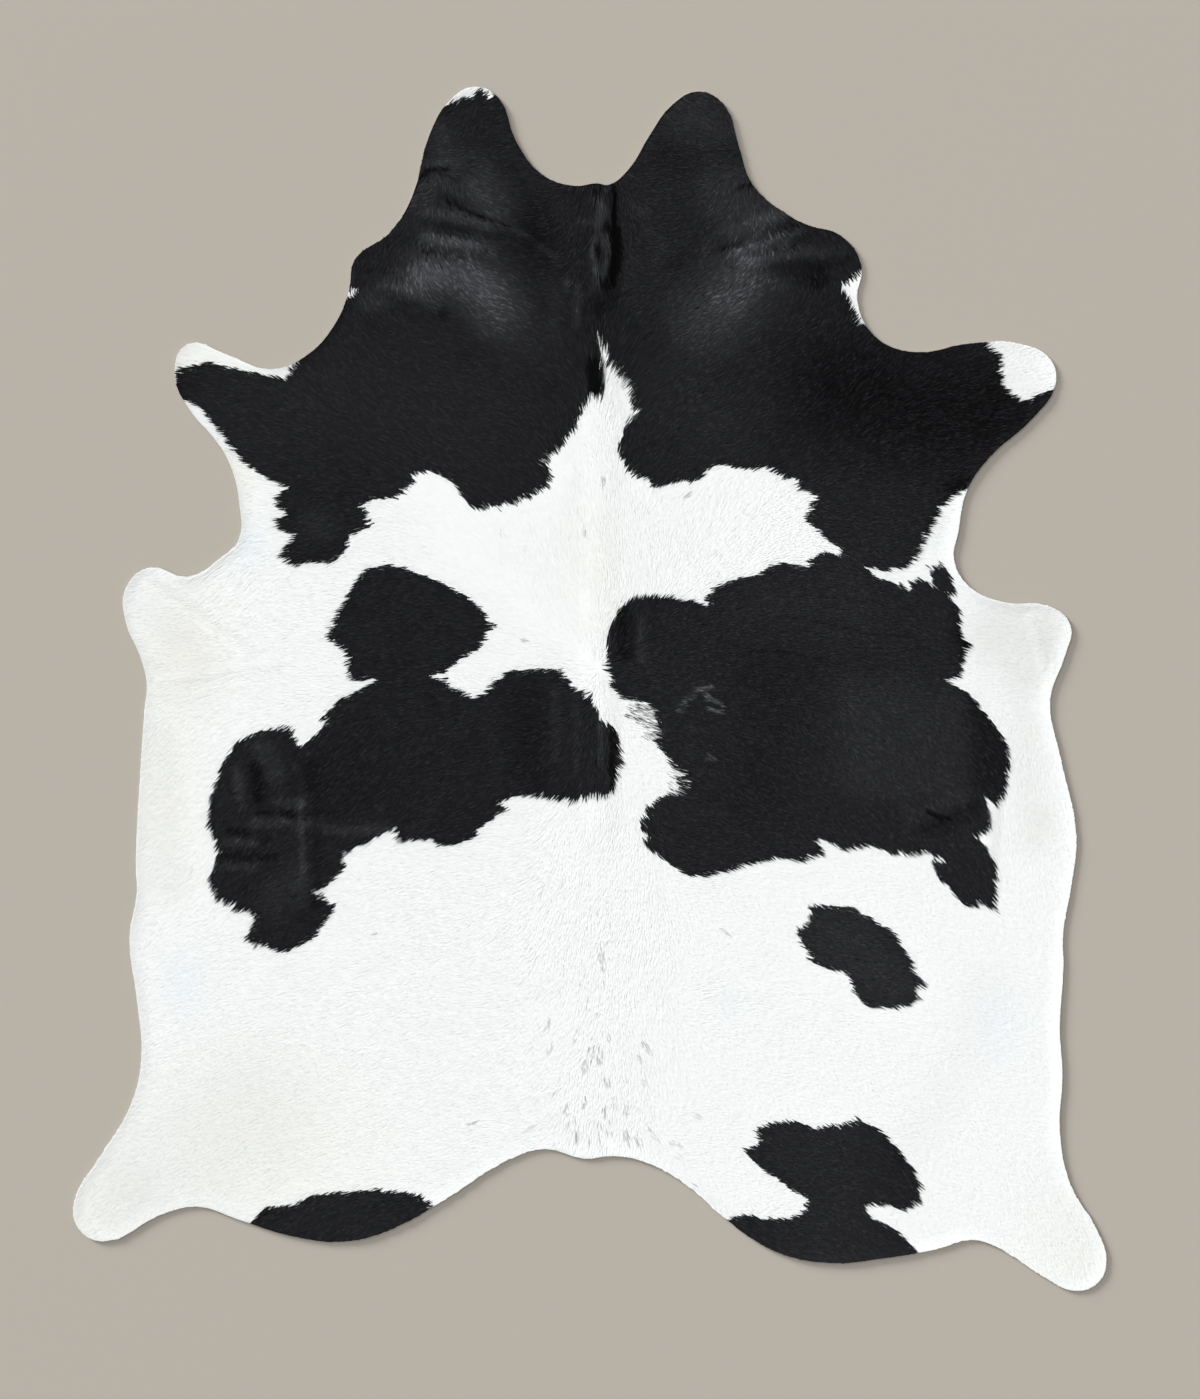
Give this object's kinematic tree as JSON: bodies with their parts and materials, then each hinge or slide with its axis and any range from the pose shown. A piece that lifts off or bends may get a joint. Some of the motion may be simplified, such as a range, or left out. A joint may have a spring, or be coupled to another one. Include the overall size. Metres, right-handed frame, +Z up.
{
  "type": "cowhide rug",
  "caption": "Flat cowhide rug with the outline of the whole hide: neck lobes, forelegs, flanks, hind legs and tail arch, with low soft folds.",
  "frame": {"origin": "centre of the rug's bounding box in X and Y, on the floor", "axes": "+Y along the hide toward the neck, +X toward the right-hand side as seen from above with the neck away from the viewer, +Z up"},
  "size_m": [1.9227, 2.241, 0.013],
  "materials": {
    "hide": "hair-on hide, short white coat with large black spots, soft satin sheen"
  },
  "bodies": {
    "root": {"hide": "hide"}
  },
  "joints": []
}
